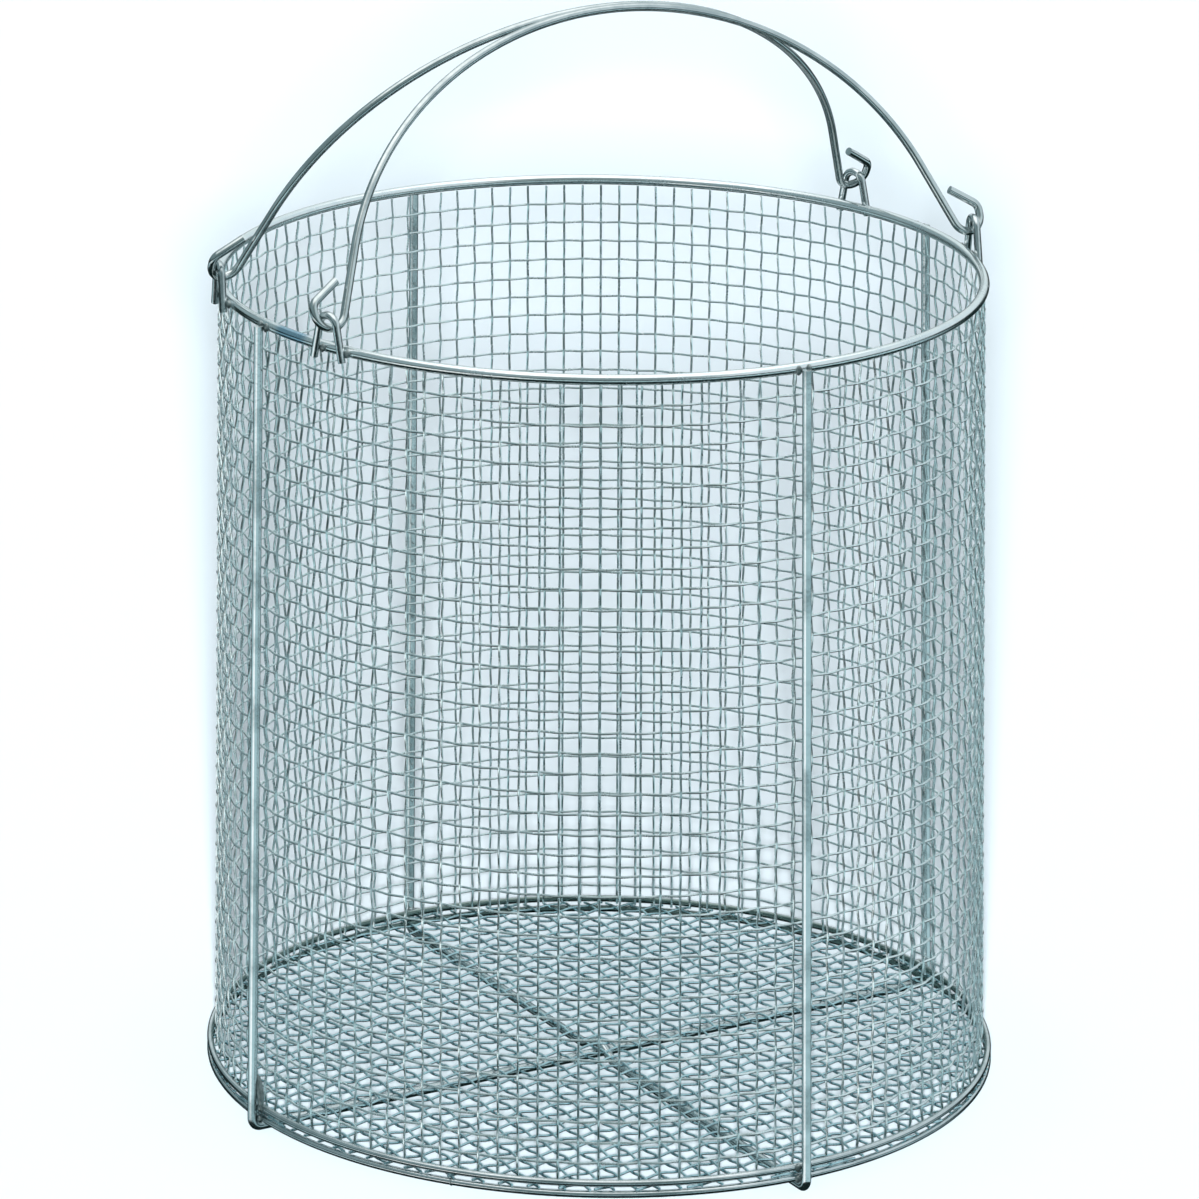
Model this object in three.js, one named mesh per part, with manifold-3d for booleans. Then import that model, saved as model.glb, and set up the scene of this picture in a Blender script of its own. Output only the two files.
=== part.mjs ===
// Round washing basket of welded stainless wire. A woven mesh wall and floor are held by a rim ring,
// two base rings and two crossed hoops. Two bails hook into ears on the rim and swing about X.
// Millimetres, +Z up. The basket stands on z = 0 and its axis is Z.

import * as THREE from 'three';
import { mergeVertices } from 'three/addons/utils/BufferGeometryUtils.js';
import Module from 'manifold-3d';

const wasm = await Module();
wasm.setup();

// Driving dimensions
const RIM_RADIUS = 150; // centre line of the rim ring
const RIM_HEIGHT = 307; // centre line of the rim ring above the ground
const RIM_WIRE = 4;
const BASE_WIRE = 2.5;
const HOOP_WIRE = 3.6;
const HOOP_CROSS_ANGLE = 88; // degrees between the two hoops
const HOOP_CRANK_RUN = 14; // half length of the crank where one hoop steps over the other
const MESH_WIRE = 1; // thickness of the wire cloth
const MESH_BAR = 3.3; // width of a mesh bar, which has the weight of the few fine wires it stands for
const MESH_PITCH = 35; // between mesh bars, rounded in the wall to a whole number of gaps
const WALL_PANELS = 14; // strips of cloth round the wall
const EAR_WIRE = 3;
const EAR_SPREAD = 14.6; // between the ends of an ear's splayed legs, on their centre lines
const EAR_BEND = 4.5; // centre line radius of the crown
const EAR_RISE = 13.2; // crown's centre line above the rim's
const EAR_DROP = 3.5; // leg ends below the rim's centre line
const EAR_ANGLE = 16; // degrees from the X axis to each ear, seen from above
const BAIL_WIRE = 3.2;
const BAIL_REACH = 104.1; // hinge axis to the crown of the bail
const SIDE_ANGLE = 22.5; // degrees that the straight sides of a bail lean inward
const SIDE_RUN = 26; // straight part of a side, above its hook
const HOOK_RADIUS = 6.5;
const HOOK_PASS = 17; // degrees past its lowest point where a hook goes under its ear
const HOOK_PLAY = 1.7; // between a hook and the crown of its ear
const TIP_RISE = 1; // straight part between the hook and the tip's bend
const TIP_RADIUS = 4;
const TIP_TURN = 58; // degrees
const TIP_LENGTH = 11.5;
const WELD_GAP = 0.3; // between pieces that touch

// Facets
const WIRE_SIDES = 8;
const RING_STEPS = 60;
const BEND_STEP = 18; // degrees of a bend in one facet
const ARCH_STEPS = 14; // in half the arch of a bail
const CRANK_STEPS = 6; // in half the crank of a hoop

// Radii of the wires, and the half height of a hoop across its flats
const rimR = RIM_WIRE / 2;
const baseR = BASE_WIRE / 2;
const hoopR = HOOP_WIRE / 2;
const earR = EAR_WIRE / 2;
const bailR = BAIL_WIRE / 2;
const hoopFlat = hoopR * Math.cos(Math.PI / WIRE_SIDES);
const radians = THREE.MathUtils.degToRad;

// Rings and mesh: the wall stands under the rim and inside the base rings, on the floor's edge
const wallOuter = RIM_RADIUS + MESH_WIRE / 2;
const wallInner = RIM_RADIUS - MESH_WIRE / 2;
const baseRadius = (wallOuter + WELD_GAP) / Math.cos(Math.PI / RING_STEPS) + baseR;
const hugRadius = hoopR + WELD_GAP + baseR; // from a base ring's centre to a hoop's
const lowerRingZ = hoopFlat + hugRadius;
const floorBottom = lowerRingZ + baseR + WELD_GAP;
const floorTop = floorBottom + MESH_WIRE;
const upperRingZ = floorTop + WELD_GAP + baseR;
const wallBottom = floorTop + WELD_GAP;
const wallTop = RIM_HEIGHT - rimR - WELD_GAP;

// Hoops: the crank lifts the cross hoop over the long one, and the floor rises to clear the crank
const crankLift = HOOP_WIRE + WELD_GAP;
const crankTop = hoopFlat * 2 + crankLift;
const floorLift = Math.max(0, crankTop + WELD_GAP - floorBottom);

// Ears and bails: the hook of a bail turns loosely under the crown of an ear
const earRadius = RIM_RADIUS + rimR + WELD_GAP + earR;
const earX = earRadius * Math.cos(radians(EAR_ANGLE));
const earY = earRadius * Math.sin(radians(EAR_ANGLE));
const hingeZ = RIM_HEIGHT + EAR_RISE - earR - HOOK_PLAY - bailR;
const bailLean = Math.asin((earY - bailR - WELD_GAP / 2) / BAIL_REACH);

// Bright stainless steel, a little duller on the cloth
const frameSteel = { color: 0xd9dee0, roughness: 0.25, metalness: 1 };
const meshSteel = { color: 0xc4d0d4, roughness: 0.35, metalness: 1 };
const bailSteel = { color: 0xe2e5e6, roughness: 0.2, metalness: 1 };

function piece(name, geometry, finish) {
  geometry.computeVertexNormals();
  const mesh = new THREE.Mesh(geometry, new THREE.MeshStandardMaterial(finish));
  mesh.name = name;
  return mesh;
}

function indexedGeometry(positions, triangles) {
  const geometry = new THREE.BufferGeometry();
  geometry.setAttribute('position', new THREE.Float32BufferAttribute(positions, 3));
  geometry.setIndex(triangles);
  return geometry;
}

// A round wire bent along a path in the XY plane, with flats square to the path's plane
function bentWire(path, radius) {
  const positions = [];
  const triangles = [];
  const last = path.length - 1;
  const runs = path.slice(1).map((point, i) => point.clone().sub(path[i]).normalize());
  path.forEach((point, i) => {
    const into = runs[Math.max(i - 1, 0)];
    const out = runs[Math.min(i, last - 1)];
    const along = into.clone().add(out).normalize();
    const mitre = 1 / along.dot(into);
    for (let k = 0; k < WIRE_SIDES; k += 1) {
      const angle = ((k + 0.5) / WIRE_SIDES) * Math.PI * 2;
      const aside = radius * Math.cos(angle) * mitre;
      positions.push(point.x - along.y * aside, point.y + along.x * aside, radius * Math.sin(angle));
    }
  });
  for (let i = 0; i < last; i += 1) {
    for (let k = 0; k < WIRE_SIDES; k += 1) {
      const a = i * WIRE_SIDES + k;
      const b = i * WIRE_SIDES + ((k + 1) % WIRE_SIDES);
      triangles.push(a, b, b + WIRE_SIDES, a, b + WIRE_SIDES, a + WIRE_SIDES);
    }
  }
  for (let k = 1; k < WIRE_SIDES - 1; k += 1) {
    const end = last * WIRE_SIDES;
    triangles.push(0, k + 1, k, end, end + k, end + k + 1);
  }
  return indexedGeometry(positions, triangles);
}

// Points of an arc, from and to in degrees, both ends included
function arc(x, y, radius, from, to) {
  const steps = Math.ceil((to - from) / BEND_STEP);
  return Array.from({ length: steps + 1 }, (_, i) => {
    const angle = radians(from + ((to - from) * i) / steps);
    return new THREE.Vector2(x + radius * Math.cos(angle), y + radius * Math.sin(angle));
  });
}

// The other half of a path that is the same on both sides of x = 0
function mirrored(half) {
  return half.slice().reverse().map((p) => new THREE.Vector2(-p.x, p.y));
}

function ring(radius, wireRadius, z) {
  const geometry = new THREE.TorusGeometry(radius, wireRadius, WIRE_SIDES, RING_STEPS);
  geometry.translate(0, 0, z);
  return geometry;
}

// Wall: a strip of wire cloth, open between its bars. Its outer bars are half a bar each, next to
// those of the neighbouring strips.
function panelGeometry(panel) {
  const positions = [];
  const triangles = [];
  const sweep = (Math.PI * 2) / WALL_PANELS;
  const columns = Math.round((sweep * RIM_RADIUS) / MESH_PITCH);
  const climb = wallTop - wallBottom - MESH_BAR;
  const rows = Math.round(climb / MESH_PITCH);
  const barAngle = MESH_BAR / RIM_RADIUS / 2;
  const seamAngle = WELD_GAP / RIM_RADIUS / 2;
  const barEdges = Array.from({ length: columns + 1 }, (_, column) => {
    const middle = (panel + column / columns) * sweep;
    const left = column === 0 ? middle + seamAngle : middle - barAngle;
    const right = column === columns ? middle - seamAngle : middle + barAngle;
    return [left, right];
  }).flat();
  const rowEdges = Array.from({ length: rows + 1 }, (_, row) => {
    const z = wallBottom + (climb * row) / rows;
    return [z, z + MESH_BAR];
  }).flat();
  for (const z of rowEdges) {
    for (const angle of barEdges) {
      for (const radius of [wallInner, wallOuter]) {
        positions.push(radius * Math.cos(angle), radius * Math.sin(angle), z);
      }
    }
  }
  const lastLine = barEdges.length - 1;
  const lastLevel = rowEdges.length - 1;
  const corner = (line, level, layer) => (level * barEdges.length + line) * 2 + layer;
  const quad = (a, b, c, d) => triangles.push(a, b, c, a, c, d);
  const edge = (a, b) => quad(corner(...a, 1), corner(...b, 1), corner(...b, 0), corner(...a, 0));
  for (let line = 0; line < lastLine; line += 1) {
    for (let level = 0; level < lastLevel; level += 1) {
      const around = [[line, level], [line + 1, level], [line + 1, level + 1], [line, level + 1]];
      const isGap = line % 2 === 1 && level % 2 === 1;
      if (isGap) {
        around.forEach((from, i) => edge(from, around[(i + 1) % 4]));
      } else {
        quad(...around.map((place) => corner(...place, 1)));
        quad(...around.map((place) => corner(...place, 0)).reverse());
      }
    }
    edge([line, lastLevel], [line + 1, lastLevel]);
    edge([line + 1, 0], [line, 0]);
  }
  for (let level = 0; level < lastLevel; level += 1) {
    edge([0, level], [0, level + 1]);
    edge([lastLine, level + 1], [lastLine, level]);
  }
  return indexedGeometry(positions, triangles);
}

function toSolid(geometry) {
  geometry.deleteAttribute('normal');
  geometry.deleteAttribute('uv');
  const merged = mergeVertices(geometry);
  return new wasm.Manifold(
    new wasm.Mesh({
      numProp: 3,
      vertProperties: new Float32Array(merged.attributes.position.array),
      triVerts: new Uint32Array(merged.index.array),
    }),
  );
}

function disc(radius, thickness) {
  const geometry = new THREE.CylinderGeometry(radius, radius, thickness, RING_STEPS);
  return toSolid(geometry.rotateX(Math.PI / 2));
}

// Floor: a disc of wire cloth with square gaps, raised a little in the middle by the crossed hoops
function floorGeometry() {
  const gap = MESH_PITCH - MESH_BAR;
  const sliver = gap / 6; // a gap that reaches in less than this is left closed
  const through = MESH_WIRE * 2;
  const meshRadius = wallInner - MESH_BAR;
  const core = disc(meshRadius, through);
  const count = Math.ceil(meshRadius / MESH_PITCH);
  let floor = disc(baseRadius, MESH_WIRE);
  for (let i = -count; i < count; i += 1) {
    for (let j = -count; j < count; j += 1) {
      const x = (i + 0.5) * MESH_PITCH;
      const y = (j + 0.5) * MESH_PITCH;
      const nearest = Math.hypot(Math.abs(x) - gap / 2, Math.abs(y) - gap / 2);
      if (nearest < meshRadius - sliver) {
        const box = new THREE.BoxGeometry(gap, gap, through).translate(x, y, 0);
        floor = floor.subtract(toSolid(box).intersect(core));
      }
    }
  }
  const cut = floor.getMesh();
  const positions = Array.from(cut.vertProperties);
  for (let i = 0; i < positions.length; i += 3) {
    const out = Math.hypot(positions[i], positions[i + 1]) / baseRadius;
    positions[i + 2] += floorBottom + MESH_WIRE / 2 + floorLift * (1 - out * out);
  }
  return indexedGeometry(positions, Array.from(cut.triVerts));
}

// Hoop: half of it runs from the middle under the floor, round the lower ring and up outside the rim
function hoopGeometry(cranked) {
  const rimU = RIM_RADIUS + rimR + WELD_GAP + hoopR;
  const crank = Array.from({ length: CRANK_STEPS }, (_, i) => {
    const share = (i + 1) / CRANK_STEPS;
    const lift = (crankLift * (1 + Math.cos(Math.PI * share))) / 2;
    return new THREE.Vector2(HOOP_CRANK_RUN * share, hoopFlat + lift);
  });
  const half = [
    ...(cranked ? crank : []),
    ...arc(baseRadius, lowerRingZ, hugRadius, 270, 360),
    new THREE.Vector2(baseRadius + hugRadius, upperRingZ + baseR),
    new THREE.Vector2(rimU, RIM_HEIGHT - rimR),
    new THREE.Vector2(rimU, RIM_HEIGHT),
  ];
  const middle = cranked ? [new THREE.Vector2(0, hoopFlat + crankLift)] : [];
  return bentWire([...mirrored(half), ...middle, ...half], hoopR);
}

// Ear: an inverted U with splayed legs, which stand against the outside of the rim
function earGeometry() {
  const crownY = EAR_RISE - EAR_BEND;
  const foot = new THREE.Vector2(EAR_SPREAD / 2, -EAR_DROP);
  const toFoot = foot.clone().sub(new THREE.Vector2(0, crownY));
  const tangent = Math.atan2(toFoot.y, toFoot.x) + Math.acos(EAR_BEND / toFoot.length());
  const start = THREE.MathUtils.radToDeg(tangent);
  const crown = arc(0, crownY, EAR_BEND, start, 180 - start);
  return bentWire([foot, ...crown, new THREE.Vector2(-foot.x, foot.y)], earR);
}

// Bail: an elliptic arch on two straight sides, each hooked through an ear and bent back over it.
// Its path lies in the bail's own plane, x along the hinge axis and y from the axis to the crown.
function bailGeometry() {
  const lean = radians(SIDE_ANGLE);
  const pass = radians(HOOK_PASS);
  const hookX = earX - HOOK_RADIUS * Math.sin(pass);
  const hookY = HOOK_RADIUS * Math.cos(pass);
  const hook = arc(hookX, hookY, HOOK_RADIUS, 180 + SIDE_ANGLE, 360);
  const side = new THREE.Vector2(-Math.sin(lean), Math.cos(lean)).multiplyScalar(SIDE_RUN).add(hook[0]);

  // The ellipse that has its top at the crown and runs into the sides without a kink
  const climb = BAIL_REACH - side.y;
  const sunk = climb ** 2 / (side.x / Math.tan(lean) - climb * 2);
  const archY = side.y - sunk;
  const archHeight = climb + sunk;
  const archWidth = archHeight * Math.sqrt((Math.tan(lean) * side.x) / sunk);
  const archEnd = Math.asin(sunk / archHeight);
  const arch = Array.from({ length: ARCH_STEPS }, (_, i) => {
    const angle = Math.PI / 2 - ((Math.PI / 2 - archEnd) * (i + 1)) / ARCH_STEPS;
    return new THREE.Vector2(archWidth * Math.cos(angle), archY + archHeight * Math.sin(angle));
  });

  const bend = arc(hookX + HOOK_RADIUS - TIP_RADIUS, hookY + TIP_RISE, TIP_RADIUS, 0, TIP_TURN);
  const turn = radians(TIP_TURN);
  const tip = new THREE.Vector2(-Math.sin(turn), Math.cos(turn)).multiplyScalar(TIP_LENGTH);
  const half = [...arch, ...hook, ...bend, bend[bend.length - 1].clone().add(tip)];
  return bentWire([...mirrored(half), new THREE.Vector2(0, BAIL_REACH), ...half], bailR);
}

const basket = new THREE.Group();

basket.add(
  piece('rim_ring', ring(RIM_RADIUS, rimR, RIM_HEIGHT), frameSteel),
  piece('base_ring_upper', ring(baseRadius, baseR, upperRingZ), frameSteel),
  piece('base_ring_lower', ring(baseRadius, baseR, lowerRingZ), frameSteel),
  piece('floor_mesh', floorGeometry(), meshSteel),
);

for (let panel = 0; panel < WALL_PANELS; panel += 1) {
  const name = `wall_mesh_${String(panel + 1).padStart(2, '0')}`;
  basket.add(piece(name, panelGeometry(panel), meshSteel));
}

// A frame with X across the basket and Y up, turned about the basket's axis
function uprightFrame(degrees) {
  const frame = new THREE.Group();
  frame.rotation.set(Math.PI / 2, 0, radians(degrees), 'ZYX');
  basket.add(frame);
  return frame;
}

const hoops = [['hoop_long', 0, false], ['hoop_cross', HOOP_CROSS_ANGLE, true]];
for (const [name, degrees, cranked] of hoops) {
  uprightFrame(degrees).add(piece(name, hoopGeometry(cranked), frameSteel));
}

const ears = {
  ear_front_right: -EAR_ANGLE,
  ear_back_right: EAR_ANGLE,
  ear_back_left: 180 - EAR_ANGLE,
  ear_front_left: 180 + EAR_ANGLE,
};
for (const [name, degrees] of Object.entries(ears)) {
  const ear = piece(name, earGeometry(), frameSteel);
  ear.position.set(0, RIM_HEIGHT, earRadius);
  uprightFrame(degrees + 90).add(ear);
}

// The two bails lean on each other above the middle of the basket
for (const [name, degrees] of [['bail_front', 0], ['bail_back', 180]]) {
  const bail = piece(name, bailGeometry(), bailSteel);
  bail.position.set(0, hingeZ, earY);
  bail.rotation.x = -bailLean;
  uprightFrame(degrees).add(bail);
}

export default basket;
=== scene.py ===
import bpy
import math
from mathutils import Matrix, Vector


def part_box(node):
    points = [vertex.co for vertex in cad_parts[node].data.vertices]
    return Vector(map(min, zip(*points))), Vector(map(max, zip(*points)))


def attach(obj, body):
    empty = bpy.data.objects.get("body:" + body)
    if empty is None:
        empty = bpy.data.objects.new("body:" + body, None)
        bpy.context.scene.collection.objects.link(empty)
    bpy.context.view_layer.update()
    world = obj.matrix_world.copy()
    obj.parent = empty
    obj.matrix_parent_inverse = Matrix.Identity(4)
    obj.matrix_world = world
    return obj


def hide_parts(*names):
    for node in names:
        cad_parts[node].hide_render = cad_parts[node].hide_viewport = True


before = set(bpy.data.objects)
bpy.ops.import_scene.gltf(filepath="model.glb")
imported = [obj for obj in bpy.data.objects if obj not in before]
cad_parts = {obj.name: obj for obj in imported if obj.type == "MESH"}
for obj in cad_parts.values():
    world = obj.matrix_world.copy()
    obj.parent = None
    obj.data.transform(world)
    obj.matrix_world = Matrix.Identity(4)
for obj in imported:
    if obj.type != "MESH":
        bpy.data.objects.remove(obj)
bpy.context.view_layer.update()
scene = bpy.context.scene
print("frame loaded:", len(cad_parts), "nodes")


# Handling

def clearSelection():
    bpy.ops.object.select_all(action="DESELECT")


def pickOnly(piece):
    clearSelection()
    piece.select_set(True)
    bpy.context.view_layer.objects.active = piece


def applyModifiers(piece):
    pickOnly(piece)
    for modifier in list(piece.modifiers):
        bpy.ops.object.modifier_apply(modifier=modifier.name)


def settlePlace(piece):  # the place goes into the mesh, so the object sits at the origin
    pickOnly(piece)
    bpy.ops.object.transform_apply(location=True, rotation=True, scale=True)


def finishPiece(piece, body, slot, material, *nodes):
    piece.data.materials.clear()
    piece.data.materials.append(material)
    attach(piece, body)
    if nodes:
        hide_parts(*nodes)


# Nodes that the steels and the studio air share

def rangeNode(tree, value, low, high, last=1.0):  # a smooth step from 0 to last
    node = tree.nodes.new("ShaderNodeMapRange")
    node.interpolation_type = "SMOOTHSTEP"
    for socket, number in (("From Min", low), ("From Max", high), ("To Max", last)):
        node.inputs[socket].default_value = number
    tree.links.new(value, node.inputs["Value"])
    return node.outputs["Result"]


def productNode(tree, first, second):
    node = tree.nodes.new("ShaderNodeMath")
    node.operation = "MULTIPLY"
    tree.links.new(first, node.inputs[0])
    tree.links.new(second, node.inputs[1])
    return node.outputs[0]


def alongNode(tree, direction, axis):
    node = tree.nodes.new("ShaderNodeVectorMath")
    node.operation = "DOT_PRODUCT"
    tree.links.new(direction, node.inputs[0])
    node.inputs[1].default_value = axis
    return node.outputs["Value"]


def mixNode(tree, share, first, last):  # a colour is set on the socket, an output is linked
    node = tree.nodes.new("ShaderNodeMix")
    node.data_type = "RGBA"
    tree.links.new(share, node.inputs["Factor"])
    for name, value in (("A", first), ("B", last)):
        if isinstance(value, tuple):
            node.inputs[name].default_value = (*value, 1.0)
        else:
            tree.links.new(value, node.inputs[name])
    return node.outputs["Result"]


# Steel: drawn wire, bright, with faint smears and grain

drawn = {"smearDetail": 5.0, "smearRoughness": 0.6, "smearLimits": (0.38, 0.68), "grainDetail": 3.0,
         "fullSpeckle": 0.6}


def makeDrawnSteel():
    group = bpy.data.node_groups.new("drawnSteel", "ShaderNodeTree")
    for name, kind in (("Bright", "NodeSocketColor"), ("Dull", "NodeSocketColor"),
                       ("Smear Scale", "NodeSocketFloat"), ("Grain Scale", "NodeSocketFloat"),
                       ("Smooth", "NodeSocketFloat"), ("Rough", "NodeSocketFloat")):
        group.interface.new_socket(name=name, in_out="INPUT", socket_type=kind)
    for name, kind in (("Color", "NodeSocketColor"), ("Roughness", "NodeSocketFloat"),
                       ("Height", "NodeSocketFloat")):
        group.interface.new_socket(name=name, in_out="OUTPUT", socket_type=kind)
    nodes, links = group.nodes, group.links
    into, out = nodes.new("NodeGroupInput"), nodes.new("NodeGroupOutput")
    coords = nodes.new("ShaderNodeTexCoord")
    smear = nodes.new("ShaderNodeTexNoise")
    smear.inputs["Detail"].default_value = drawn["smearDetail"]
    smear.inputs["Roughness"].default_value = drawn["smearRoughness"]
    grain = nodes.new("ShaderNodeTexNoise")
    grain.inputs["Detail"].default_value = drawn["grainDetail"]
    for noise, scale in ((smear, "Smear Scale"), (grain, "Grain Scale")):
        links.new(coords.outputs["Object"], noise.inputs["Vector"])
        links.new(into.outputs[scale], noise.inputs["Scale"])
    patch = rangeNode(group, smear.outputs["Fac"], *drawn["smearLimits"])
    links.new(mixNode(group, patch, into.outputs["Bright"], into.outputs["Dull"]), out.inputs["Color"])
    gloss = nodes.new("ShaderNodeMapRange")  # smears are rougher, most of all in their grain
    gloss.inputs["From Max"].default_value = drawn["fullSpeckle"]
    links.new(productNode(group, grain.outputs["Fac"], patch), gloss.inputs["Value"])
    links.new(into.outputs["Smooth"], gloss.inputs["To Min"])
    links.new(into.outputs["Rough"], gloss.inputs["To Max"])
    links.new(gloss.outputs["Result"], out.inputs["Roughness"])
    links.new(grain.outputs["Fac"], out.inputs["Height"])
    return group


drawnSteel = makeDrawnSteel()


def tintAndShadeOver(tree, colour, tintAndShade):  # heat tint on the rim and painted shade on the base rings' inner side, by the distance from an upright line
    coords = tree.nodes.new("ShaderNodeTexCoord")
    flat = tree.nodes.new("ShaderNodeVectorMath")
    flat.operation = "MULTIPLY"
    flat.inputs[1].default_value = (1.0, 1.0, 0.0)
    tree.links.new(coords.outputs["Object"], flat.inputs[0])
    reach = tree.nodes.new("ShaderNodeVectorMath")
    reach.operation = "DISTANCE"
    reach.inputs[1].default_value = (*tintAndShade["centre"], 0.0)
    tree.links.new(flat.outputs["Vector"], reach.inputs[0])
    share = rangeNode(tree, reach.outputs["Value"], tintAndShade["clear"], tintAndShade["full"], tintAndShade["strength"])
    return mixNode(tree, share, colour, tintAndShade["colour"])


def steelMaterial(name, finish):
    material = bpy.data.materials.new(name)
    material.use_nodes = True
    tree = material.node_tree
    shader = tree.nodes["Principled BSDF"]
    shader.inputs["Metallic"].default_value = 1.0
    surface = tree.nodes.new("ShaderNodeGroup")
    surface.node_tree = drawnSteel
    surface.inputs["Bright"].default_value = (*finish["bright"], 1.0)
    surface.inputs["Dull"].default_value = (*finish["dull"], 1.0)
    for socket, setting in (("Smear Scale", "smearScale"), ("Grain Scale", "grainScale"),
                            ("Smooth", "smooth"), ("Rough", "rough")):
        surface.inputs[socket].default_value = finish[setting]
    colour = surface.outputs["Color"]
    # heat tints and painted shade go over the steel's colour
    for tintAndShade in finish.get("tintsAndShades", ()):
        colour = tintAndShadeOver(tree, colour, tintAndShade)
    bump = tree.nodes.new("ShaderNodeBump")
    bump.inputs["Strength"].default_value = finish["bump"]
    bump.inputs["Distance"].default_value = finish["bumpDepth"]
    tree.links.new(surface.outputs["Height"], bump.inputs["Height"])
    for output, socket in ((colour, "Base Color"), (surface.outputs["Roughness"], "Roughness"),
                           (bump.outputs["Normal"], "Normal")):
        tree.links.new(output, shader.inputs[socket])
    return material


frameFinish = {"bright": (0.74, 0.78, 0.79), "dull": (0.52, 0.58, 0.59), "smearScale": 60.0, "grainScale": 900.0,
               "smooth": 0.10, "rough": 0.26, "bump": 0.15, "bumpDepth": 0.0002}
frameSteel = steelMaterial("frameSteel", frameFinish)
rimFinish = {**frameFinish, "bright": (0.97, 1.0, 1.0), "dull": (0.86, 0.92, 0.94), "smooth": 0.16, "rough": 0.32}
rimSteel = steelMaterial("rimSteel", {**rimFinish, "tintsAndShades": [  # blued by the heat between a stay and an ear
    {"centre": (-0.149, -0.018), "clear": 0.012, "full": 0.006, "strength": 0.85, "colour": (0.30, 0.52, 0.68)}]})
ringSteel = steelMaterial("ringSteel", {**frameFinish, "tintsAndShades": [  # painted shade: the rings' inner side darkened as if in the basket's shadow
    {"centre": (0.0, 0.0), "clear": 0.1524, "full": 0.1515, "strength": 0.85, "colour": (0.10, 0.17, 0.15)}]})
bailSteel = steelMaterial("bailSteel", {
    "bright": (0.74, 0.78, 0.78), "dull": (0.50, 0.56, 0.57), "smearScale": 45.0, "grainScale": 900.0,
    "smooth": 0.10, "rough": 0.24, "bump": 0.12, "bumpDepth": 0.0002})
clothSteel = steelMaterial("clothSteel", {
    "bright": (0.93, 1.0, 1.0), "dull": (0.82, 0.91, 0.93), "smearScale": 90.0, "grainScale": 1400.0,
    "smooth": 0.20, "rough": 0.36, "bump": 0.15, "bumpDepth": 0.0001})
# a darker, tealer copy of the cloth steel for the floor: painted shade and a painted teal reflection
floorShadedSteel = steelMaterial("floorShadedSteel", {
    "bright": (0.62, 0.84, 0.89), "dull": (0.40, 0.58, 0.63), "smearScale": 160.0, "grainScale": 1400.0,
    "smooth": 0.20, "rough": 0.36, "bump": 0.15, "bumpDepth": 0.0001})
weldSteel = steelMaterial("weldSteel", {
    "bright": (0.42, 0.47, 0.47), "dull": (0.22, 0.26, 0.26), "smearScale": 500.0, "grainScale": 2200.0,
    "smooth": 0.28, "rough": 0.55, "bump": 0.5, "bumpDepth": 0.0003})
print("steels ready")


# Wires

wireWork = {"cutBevel": 0.0004, "cutSegments": 2, "cutAngle": 60.0, "smoothAngle": 50.0}


def wireThrough(name, strands, radius, sides, cutEnds=False):  # round wire along lists of points
    clearSelection()
    bpy.ops.curve.primitive_nurbs_path_add()
    wire = bpy.context.object
    wire.name = name
    shape = wire.data
    shape.splines.clear()
    for strand in strands:
        closed = strand[0] == strand[-1]
        if closed:
            strand = strand[:-1]
        spline = shape.splines.new("POLY")
        spline.points.add(len(strand) - 1)
        for point, place in zip(spline.points, strand):
            point.co = (*place, 1.0)
        spline.use_cyclic_u = closed
    shape.twist_mode = "MINIMUM"
    shape.bevel_depth = radius
    shape.bevel_resolution = sides // 2 - 2
    shape.use_fill_caps = True
    bpy.ops.object.convert(target="MESH")
    wire = bpy.context.object
    if cutEnds:
        rounding = wire.modifiers.new("cutEnds", "BEVEL")
        rounding.limit_method = "ANGLE"
        rounding.angle_limit = math.radians(wireWork["cutAngle"])
        rounding.width = wireWork["cutBevel"]
        rounding.segments = wireWork["cutSegments"]
        applyModifiers(wire)
    pickOnly(wire)
    bpy.ops.object.shade_smooth_by_angle(angle=math.radians(wireWork["smoothAngle"]))
    return wire


def arcPoints(centre, radius, start, end, steps):  # degrees, both ends included
    angles = [math.radians(start + (end - start) * i / steps) for i in range(steps + 1)]
    return [(centre[0] + radius * math.cos(a), centre[1] + radius * math.sin(a)) for a in angles]


def bothHalves(half, middle=()):  # a flat path that starts at its middle, with its mirror image
    return [(-x, y) for x, y in reversed(half)] + list(middle) + half


# Rings: the rim and the two base rings

rings = {"steps": 240, "rimSides": 20, "baseSides": 16}


def ringWire(name, radius, wireRadius, height, sides):
    clearSelection()
    bpy.ops.curve.primitive_bezier_circle_add(radius=radius, location=(0, 0, height))
    ring = bpy.context.object
    ring.name = name
    ring.data.resolution_u = rings["steps"] // 4  # a circle has four parts
    ring.data.bevel_depth = wireRadius
    ring.data.bevel_resolution = sides // 2 - 2
    bpy.ops.object.convert(target="MESH")
    ring = bpy.context.object
    settlePlace(ring)
    bpy.ops.object.shade_smooth()
    return ring


def ringSizes(node):  # radius, wire radius and height, from the node's box
    low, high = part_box(node)
    wire = (high[2] - low[2]) / 2
    return high[0] - wire, wire, (low[2] + high[2]) / 2


rimRadius, rimWire, rimHeight = ringSizes("rim_ring")
baseRadius, baseWire, lowerHeight = ringSizes("base_ring_lower")
upperHeight = ringSizes("base_ring_upper")[2]
rimRing = ringWire("rim_wire", rimRadius, rimWire, rimHeight, rings["rimSides"])
finishPiece(rimRing, "basket", "frame_wire", rimSteel, "rim_ring")
lowerRing = ringWire("base_wire_lower", baseRadius, baseWire, lowerHeight, rings["baseSides"])
finishPiece(lowerRing, "basket", "frame_wire", ringSteel, "base_ring_lower")
upperRing = ringWire("base_wire_upper", baseRadius, baseWire, upperHeight, rings["baseSides"])
finishPiece(upperRing, "basket", "frame_wire", ringSteel, "base_ring_upper")
print("rings done")


# Hoops: under the floor, round the base rings and up to the rim

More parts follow.
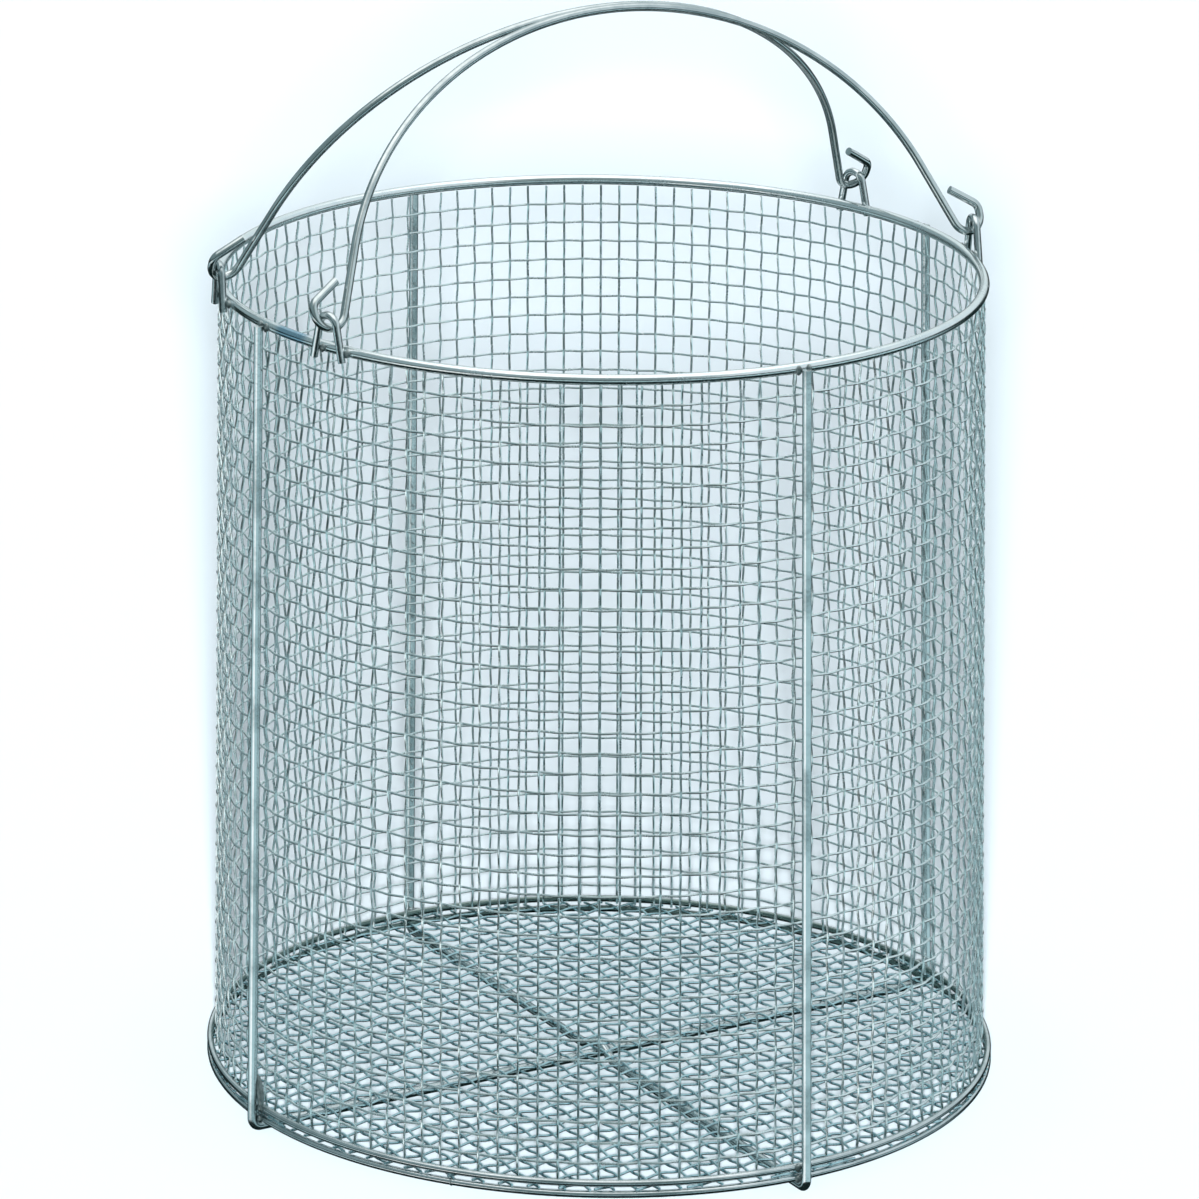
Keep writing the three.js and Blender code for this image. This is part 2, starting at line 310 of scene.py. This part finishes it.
hoops = {"wire": 0.0018, "clearance": 0.0003, "crossAngle": 88.0, "crankRun": 0.014, "sides": 16, "solidSides": 8,
         "bendSteps": 10, "crankSteps": 14, "samePoint": 1e-6}


def hoopPath(cranked):
    wire = hoops["wire"]
    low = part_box("hoop_long")[0][2] + wire * math.cos(math.pi / hoops["solidSides"])  # the solid rests on a flat
    hug = wire + hoops["clearance"] + baseWire
    rimSide = rimRadius + rimWire + hoops["clearance"] + wire
    half = []
    if cranked:
        lift = wire * 2 + hoops["clearance"]
        for i in range(hoops["crankSteps"] + 1):
            share = i / hoops["crankSteps"]
            half.append((hoops["crankRun"] * share, low + lift * (1 + math.cos(math.pi * share)) / 2))
    half += arcPoints((baseRadius, lowerHeight), hug, 270, 360, hoops["bendSteps"])
    half.append((baseRadius + hug, upperHeight + baseWire))
    half.append((rimSide, rimHeight - rimWire))
    half.append((rimSide, rimHeight))
    return bothHalves(half)


def placeHoop(name, node, cranked, turn):
    angle = math.radians(turn)
    strand = [(u * math.cos(angle), u * math.sin(angle), z) for u, z in hoopPath(cranked)]
    strand = [p for i, p in enumerate(strand)
              if i == 0 or (Vector(p) - Vector(strand[i - 1])).length > hoops["samePoint"]]
    hoop = wireThrough(name, [strand], hoops["wire"], hoops["sides"], cutEnds=True)
    finishPiece(hoop, "basket", "frame_wire", frameSteel, node)


placeHoop("hoop_wire_long", "hoop_long", False, 0.0)
placeHoop("hoop_wire_cross", "hoop_cross", True, hoops["crossAngle"])
print("hoops done")


# Ears: inverted loops on the outside of the rim

ears = {"wire": 0.0015, "clearance": 0.0003, "spread": 0.0146, "bend": 0.0045, "rise": 0.0132, "drop": 0.0035,
        "angle": 16.0, "sides": 14, "bendSteps": 20}
earRadius = rimRadius + rimWire + ears["clearance"] + ears["wire"]


def earWire(name, node, turn):
    crown = (0.0, ears["rise"] - ears["bend"])
    foot = (ears["spread"] / 2, -ears["drop"])
    fromCrown = Vector(foot) - Vector(crown)
    start = math.degrees(math.atan2(fromCrown.y, fromCrown.x) + math.acos(ears["bend"] / fromCrown.length))
    path = [foot] + arcPoints(crown, ears["bend"], start, 180 - start, ears["bendSteps"]) + [(-foot[0], foot[1])]
    angle = math.radians(turn)
    outward, along = Vector((math.cos(angle), math.sin(angle), 0)), Vector((-math.sin(angle), math.cos(angle), 0))
    strand = [tuple(outward * earRadius + along * x + Vector((0, 0, rimHeight + z))) for x, z in path]
    ear = wireThrough(name, [strand], ears["wire"], ears["sides"], cutEnds=True)
    finishPiece(ear, "basket", "frame_wire", frameSteel, node)


earTurns = {"front_right": -ears["angle"], "back_right": ears["angle"],
            "back_left": 180 - ears["angle"], "front_left": 180 + ears["angle"]}
for place, turn in earTurns.items():
    earWire("ear_wire_" + place, "ear_" + place, turn)
print("ears done")


# Bails: an elliptic arch on straight sides, hooked through the ears, tips bent back

bails = {"wire": 0.0016, "clearance": 0.0003, "reach": 0.1041, "sideAngle": 22.5, "sideRun": 0.026, "hook": 0.0065,
         "hookPass": 17.0, "play": 0.0017, "tipRise": 0.001, "tipRadius": 0.004, "tipTurn": 58.0, "tipLength": 0.0115,
         "sides": 16, "archSteps": 48, "hookSteps": 20, "tipSteps": 8}
earX = earRadius * math.cos(math.radians(ears["angle"]))
earY = earRadius * math.sin(math.radians(ears["angle"]))
hingeHeight = rimHeight + ears["rise"] - ears["wire"] - bails["play"] - bails["wire"]
bailLean = math.asin((earY - bails["wire"] - bails["clearance"] / 2) / bails["reach"])


def bailPath():  # flat, across the basket and up from the hinge
    lean, turn, past = (math.radians(bails[name]) for name in ("sideAngle", "tipTurn", "hookPass"))
    hookX, hookY = earX - bails["hook"] * math.sin(past), bails["hook"] * math.cos(past)
    hook = arcPoints((hookX, hookY), bails["hook"], 180 + bails["sideAngle"], 360, bails["hookSteps"])
    sideX = hook[0][0] - bails["sideRun"] * math.sin(lean)
    sideY = hook[0][1] + bails["sideRun"] * math.cos(lean)
    climb = bails["reach"] - sideY
    sunk = climb ** 2 / (sideX / math.tan(lean) - climb * 2)  # the arch meets the side without a kink
    tall = climb + sunk
    wide = tall * math.sqrt(math.tan(lean) * sideX / sunk)
    end = math.asin(sunk / tall)
    half = []
    for i in range(bails["archSteps"]):
        angle = math.pi / 2 - (math.pi / 2 - end) * (i + 1) / bails["archSteps"]
        half.append((wide * math.cos(angle), sideY - sunk + tall * math.sin(angle)))
    half += hook
    bendCentre = (hookX + bails["hook"] - bails["tipRadius"], hookY + bails["tipRise"])
    bend = arcPoints(bendCentre, bails["tipRadius"], 0, bails["tipTurn"], bails["tipSteps"])
    half += bend
    half.append((bend[-1][0] - bails["tipLength"] * math.sin(turn),
                 bend[-1][1] + bails["tipLength"] * math.cos(turn)))
    return bothHalves(half, [(0.0, bails["reach"])])


def placeBail(name, body, side):  # side -1 is the front
    strand = [(x, side * (earY - s * math.sin(bailLean)), hingeHeight + s * math.cos(bailLean))
              for x, s in bailPath()]
    bail = wireThrough(name, [strand], bails["wire"], bails["sides"], cutEnds=True)
    finishPiece(bail, body, "bail_wire", bailSteel, body)


placeBail("bail_wire_front", "bail_front", -1)
placeBail("bail_wire_back", "bail_back", 1)
print("bails done")


# Cloth: plain weave, each wire crimped over and under the others

cloth = {"wire": 0.00045, "pitch": 0.0076, "inset": 0.0003, "stepsPerCrossing": 6, "sides": 6}
clothRadius = rimRadius - cloth["inset"]
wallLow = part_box("wall_mesh_01")[0][2]
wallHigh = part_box("wall_mesh_01")[1][2]
wallNodes = sorted(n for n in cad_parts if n.startswith("wall_mesh"))


def wallCloth():  # odd and even wires apart, uprights as warp and rounds as weft
    uprights = 2 * round(math.pi * clothRadius / cloth["pitch"])  # an even count, so the weave closes
    rows = round((wallHigh - wallLow) / cloth["pitch"]) - 1
    rise = (wallHigh - wallLow) / (rows + 1)
    turn = 2 * math.pi / uprights
    crimp, steps = cloth["wire"], cloth["stepsPerCrossing"]
    warp, weft = ([], []), ([], [])
    for i in range(uprights):
        strand = []
        for k in range((rows + 1) * steps + 1):
            level = k / steps - 1
            r = clothRadius + crimp * (-1) ** i * math.cos(math.pi * level)
            strand.append((r * math.cos(i * turn), r * math.sin(i * turn), wallLow + rise * (level + 1)))
        warp[i % 2].append(strand)
    for j in range(rows):
        strand = []
        for k in range(uprights * steps):
            place = k / steps
            r = clothRadius - crimp * (-1) ** j * math.cos(math.pi * place)
            strand.append((r * math.cos(place * turn), r * math.sin(place * turn), wallLow + rise * (j + 1)))
        strand.append(strand[0])
        weft[j % 2].append(strand)
    return warp, weft


warp, weft = wallCloth()
for index, letter in enumerate("ab"):
    wires = wireThrough("wall_warp_" + letter, warp[index], cloth["wire"], cloth["sides"])
    finishPiece(wires, "basket", "mesh_wire", clothSteel, *(wallNodes if index == 0 else ()))
    wires = wireThrough("wall_weft_" + letter, weft[index], cloth["wire"], cloth["sides"])
    finishPiece(wires, "basket", "mesh_wire", clothSteel)
print("wall cloth done")

floorCloth = {"dome": 0.0011, "overlap": 0.0009, "edgeCrimp": 0.3, "crimpGain": 8}


def floorStrands(across):
    edge = baseRadius + floorCloth["overlap"]  # the cut ends show between the base rings
    middle = (lowerHeight + upperHeight) / 2
    count = int(edge / cloth["pitch"])
    steps = cloth["stepsPerCrossing"]
    strands = []
    for i in range(-count, count + 1):
        offset = i * cloth["pitch"]
        reach = math.sqrt(edge * edge - offset * offset)
        total = max(2, int(2 * reach / cloth["pitch"] * steps))
        strand = []
        for k in range(total + 1):
            run = -reach + 2 * reach * k / total
            out = math.hypot(offset, run) / edge
            crimp = cloth["wire"] * min(1.0, floorCloth["edgeCrimp"] + floorCloth["crimpGain"] * (1 - out))
            wave = crimp * (-1) ** i * math.cos(math.pi * run / cloth["pitch"])
            z = middle + floorCloth["dome"] * (1 - out * out) + (wave if across else -wave)
            strand.append((run, offset, z) if across else (offset, run, z))
        strands.append(strand)
    return strands


floorWeft = wireThrough("floor_weft", floorStrands(True), cloth["wire"], cloth["sides"])
finishPiece(floorWeft, "basket", "mesh_wire", floorShadedSteel, "floor_mesh")
floorWarp = wireThrough("floor_warp", floorStrands(False), cloth["wire"], cloth["sides"])
finishPiece(floorWarp, "basket", "mesh_wire", floorShadedSteel)
print("floor cloth done")


# Welds: small lumpy beads in the grooves where wires meet, a butt in the lower ring and a run up one stay

welds = {"half": (0.0013, 0.0012, 0.0019), "detail": 3, "lump": 0.16, "lumpUniform": 0.3, "lumpNormal": 0.7,
         "lumpSeed": 5, "smoothFactor": 0.5, "smoothTimes": 2, "lean": 0.0004, "rimDrop": 0.0003, "baseWide": 1.1,
         "baseTall": 0.8, "earDrop": 0.0002, "earTall": 0.9, "legInset": 0.0009, "buttTurn": 217.0, "buttWide": 0.8,
         "buttProud": 1.16, "runTurn": 180.8, "runHalf": (0.0014, 0.0014, 0.0072), "runRise": 0.8,
         "tiltJump": 37, "tiltCount": 11, "tiltStep": 0.05}


def weldSeed():
    clearSelection()
    bpy.ops.mesh.primitive_ico_sphere_add(subdivisions=welds["detail"], radius=1.0, location=(0, 0, 0))
    seed = bpy.context.object
    bpy.ops.object.mode_set(mode="EDIT")
    bpy.ops.mesh.select_all(action="SELECT")
    bpy.ops.transform.vertex_random(offset=welds["lump"], uniform=welds["lumpUniform"],
                                    normal=welds["lumpNormal"], seed=welds["lumpSeed"])
    bpy.ops.mesh.vertices_smooth(factor=welds["smoothFactor"], repeat=welds["smoothTimes"])
    bpy.ops.object.mode_set(mode="OBJECT")
    return seed


def weldPlaces():  # radius, turn in degrees, height, half sizes across, deep and tall
    across, deep, tall = welds["half"]
    rimGroove, baseGroove = rimRadius + rimWire, baseRadius + baseWire
    places = []
    for turn in (0, 180, hoops["crossAngle"], 180 + hoops["crossAngle"]):
        for side in (-1, 1):
            step = side * math.degrees((hoops["wire"] + welds["lean"]) / rimRadius)
            places.append((rimGroove, turn + step, rimHeight - welds["rimDrop"], across, deep, tall))
            for height in (lowerHeight, upperHeight):
                places.append((baseGroove, turn + step, height,
                               across * welds["baseWide"], deep, tall * welds["baseTall"]))
    legRun = ears["spread"] / 2 - welds["legInset"]  # where a leg passes the rim
    for turn in earTurns.values():
        for leg in (-1, 1):
            for side in (-1, 1):
                step = math.degrees((leg * legRun + side * (ears["wire"] + welds["lean"])) / earRadius)
                places.append((rimGroove, turn + step, rimHeight - welds["earDrop"],
                               across, deep, tall * welds["earTall"]))
    proud = baseWire * welds["buttProud"]
    places.append((baseRadius, welds["buttTurn"], lowerHeight, across * welds["buttWide"], proud, proud))
    run = welds["runHalf"]
    places.append((baseGroove, welds["runTurn"], upperHeight + run[2] * welds["runRise"], *run))
    return places


def placeWelds():
    seed = weldSeed()
    beads = []
    for index, (radius, turn, height, across, deep, tall) in enumerate(weldPlaces()):
        bead = seed.copy()
        bead.data = seed.data.copy()
        scene.collection.objects.link(bead)
        angle = math.radians(turn)
        tilt = (index * welds["tiltJump"] % welds["tiltCount"] - welds["tiltCount"] // 2) * welds["tiltStep"]
        bead.location = (radius * math.cos(angle), radius * math.sin(angle), height)
        bead.scale = (deep, across, tall)
        bead.rotation_euler = (tilt, 0.0, angle)
        beads.append(bead)
    bpy.data.objects.remove(seed)
    clearSelection()
    for bead in beads:
        bead.select_set(True)
    bpy.context.view_layer.objects.active = beads[0]
    bpy.ops.object.join()
    joined = bpy.context.object
    joined.name = "weld_beads"
    settlePlace(joined)
    bpy.ops.object.shade_smooth()
    finishPiece(joined, "basket", "frame_wire", weldSteel)


placeWelds()
print("welds done")


# Stage: pale blue paper, a soft key light at the camera, air with a low glow for the paper, and cards for the steel

stage = {"paper": (0.72, 0.830, 0.890), "paperSize": 24.0, "paperRough": 0.9, "keyPower": 37.8, "keyRadius": 0.07,
         "keyPlace": (-1.515, -2.424, 1.0525), "air": (0.125, 0.130, 0.135), "lowGlow": (3.50, 3.50, 3.50),
         "horizon": (1.0, 1.0, 1.0)}


def makeFloor():
    clearSelection()
    bpy.ops.mesh.primitive_plane_add(size=stage["paperSize"], location=(0, 0, 0))
    ground = bpy.context.object
    ground.name = "paleFloor"
    material = bpy.data.materials.new("palePaper")
    material.use_nodes = True
    shader = material.node_tree.nodes["Principled BSDF"]
    shader.inputs["Base Color"].default_value = (*stage["paper"], 1.0)
    shader.inputs["Roughness"].default_value = stage["paperRough"]
    shader.inputs["Specular IOR Level"].default_value = 0.0
    ground.data.materials.append(material)
    ground.visible_glossy = False


def makeKey():  # grows with the cube of the distance, so that a flat floor is lit evenly
    light = bpy.data.lights.new("keyLight", "POINT")
    light.shadow_soft_size = stage["keyRadius"]
    light.energy = stage["keyPower"]
    light.use_nodes = True
    tree = light.node_tree
    falloff = tree.nodes.new("ShaderNodeLightFalloff")
    falloff.inputs["Strength"].default_value = 1.0
    cubed = productNode(tree, falloff.outputs["Constant"], falloff.outputs["Linear"])
    tree.links.new(cubed, tree.nodes["Emission"].inputs["Strength"])
    lamp = bpy.data.objects.new("keyLight", light)
    scene.collection.objects.link(lamp)
    lamp.location = stage["keyPlace"]
    lamp.visible_camera = False
    lamp.visible_glossy = False


cards = {"facing": -30.2, "zenith": (1.35, 1.39, 1.39), "backSky": (0.66, 0.76, 0.78), "room": (0.20, 0.275, 0.285),
         "low": (0.49, 0.70, 0.75), "left": (1.2, 1.27, 1.28), "nadir": (0.01, 0.02, 0.02),
         "corner": (0.22, 0.31, 0.33), "rightSky": (0.62, 0.73, 0.77)}
edges = {"room": (-0.75, -0.35), "backSky": (0.35, 0.75), "cornerSide": (0.25, 0.55), "cornerTop": (0.92, 0.75),
         "rightSky": (-0.35, -0.65), "lowFoot": (-0.52, -0.42), "lowTop": (-0.18, -0.26), "leftStart": (0.3, 0.45),
         "leftEnd": (0.95, 0.8), "leftBack": (0.1, -0.1), "lowBack": (0.2, 0.7), "skyline": (-0.02, 0.14),
         "glowFoot": (0.05, 0.10), "glowTop": (0.32, 0.26)}  # where a card fades in or out, as shares of a direction


def makeAir():  # cards: bright overhead, teal low down, dark underneath and behind the camera
    world = bpy.data.worlds.new("studioAir")
    scene.world = world
    world.use_nodes = True
    world.cycles.sampling_method = "NONE"  # sampled, the paper's air would light the steel too
    tree = world.node_tree
    facing = math.radians(cards["facing"])
    direction = tree.nodes.new("ShaderNodeTexCoord").outputs["Generated"]
    up = alongNode(tree, direction, (0, 0, 1))
    back = alongNode(tree, direction, (-math.sin(facing), math.cos(facing), 0.0))
    left = alongNode(tree, direction, (-math.cos(facing), -math.sin(facing), 0.0))

    def fade(along, edge):
        return rangeNode(tree, along, *edges[edge])

    def both(first, second):
        return productNode(tree, first, second)

    sky = mixNode(tree, fade(back, "room"), cards["room"], cards["zenith"])
    sky = mixNode(tree, fade(back, "backSky"), sky, cards["backSky"])
    sky = mixNode(tree, both(fade(left, "cornerSide"), fade(up, "cornerTop")), sky, cards["corner"])
    sky = mixNode(tree, fade(left, "rightSky"), sky, cards["rightSky"])
    leftCard = both(both(fade(left, "leftStart"), fade(left, "leftEnd")), fade(back, "leftBack"))
    wall = mixNode(tree, leftCard, cards["low"], cards["left"])
    wall = mixNode(tree, fade(back, "lowBack"), wall, cards["nadir"])
    ground = mixNode(tree, both(fade(up, "lowFoot"), fade(up, "lowTop")), cards["nadir"], wall)
    steelAir = mixNode(tree, fade(up, "skyline"), ground, sky)
    paperAir = mixNode(tree, both(fade(up, "glowFoot"), fade(up, "glowTop")), stage["air"], stage["lowGlow"])
    ray = tree.nodes.new("ShaderNodeLightPath")
    paperAir = mixNode(tree, ray.outputs["Is Camera Ray"], paperAir, stage["horizon"])
    air = mixNode(tree, ray.outputs["Is Glossy Ray"], paperAir, steelAir)
    tree.links.new(air, tree.nodes["Background"].inputs["Color"])


makeFloor()
makeKey()
makeAir()
scene.view_settings.view_transform = "Standard"
print("stage ready")


# Camera: a view camera with its film upright, so the basket's sides stay parallel

photoView = {"pixels": 1199, "azimuth": -32.0, "yaw": 1.82112, "distance": 2.83886, "height": 1.04927,
             "focal": 7227.86, "axisColumn": 369.87, "horizonRow": -1616.49, "roll": 0.20136, "rollColumn": 603.0,
             "rollRow": 680.0, "sensor": 36.0, "clipEnd": 100.0}


def makeCamera():
    view = photoView
    azimuth, roll = math.radians(view["azimuth"]), math.radians(view["roll"])
    c, s = math.cos(roll), math.sin(roll)
    facing = azimuth + math.radians(view["yaw"])
    ahead = Vector((-math.sin(facing), math.cos(facing), 0))
    right = Vector((math.cos(facing), math.sin(facing), 0))
    up = Vector((0, 0, 1))
    middle = view["pixels"] / 2
    column = view["rollColumn"] + (middle - view["rollColumn"]) * c + (middle - view["rollRow"]) * s
    row = view["rollRow"] - (middle - view["rollColumn"]) * s + (middle - view["rollRow"]) * c
    axis = (ahead + right * ((column - view["axisColumn"]) / view["focal"])
            - up * ((row - view["horizonRow"]) / view["focal"]))
    place = Vector((math.sin(azimuth), -math.cos(azimuth), 0)) * view["distance"] + up * view["height"]
    film = Matrix((right * c + up * s, up * c - right * s, -axis)).transposed().to_4x4()
    film.translation = place
    data = bpy.data.cameras.new("photoCamera")
    data.sensor_width = view["sensor"]
    data.lens = view["focal"] * axis.length / view["pixels"] * view["sensor"]
    data.clip_end = view["clipEnd"]
    camera = bpy.data.objects.new("photoCamera", data)
    scene.collection.objects.link(camera)
    stand = bpy.data.objects.new("cameraStand", None)
    scene.collection.objects.link(stand)
    camera.parent = stand
    camera.matrix_parent_inverse = film  # the film's slant goes here, since a camera's own axes stay square
    scene.camera = camera


makeCamera()
print("camera ready")
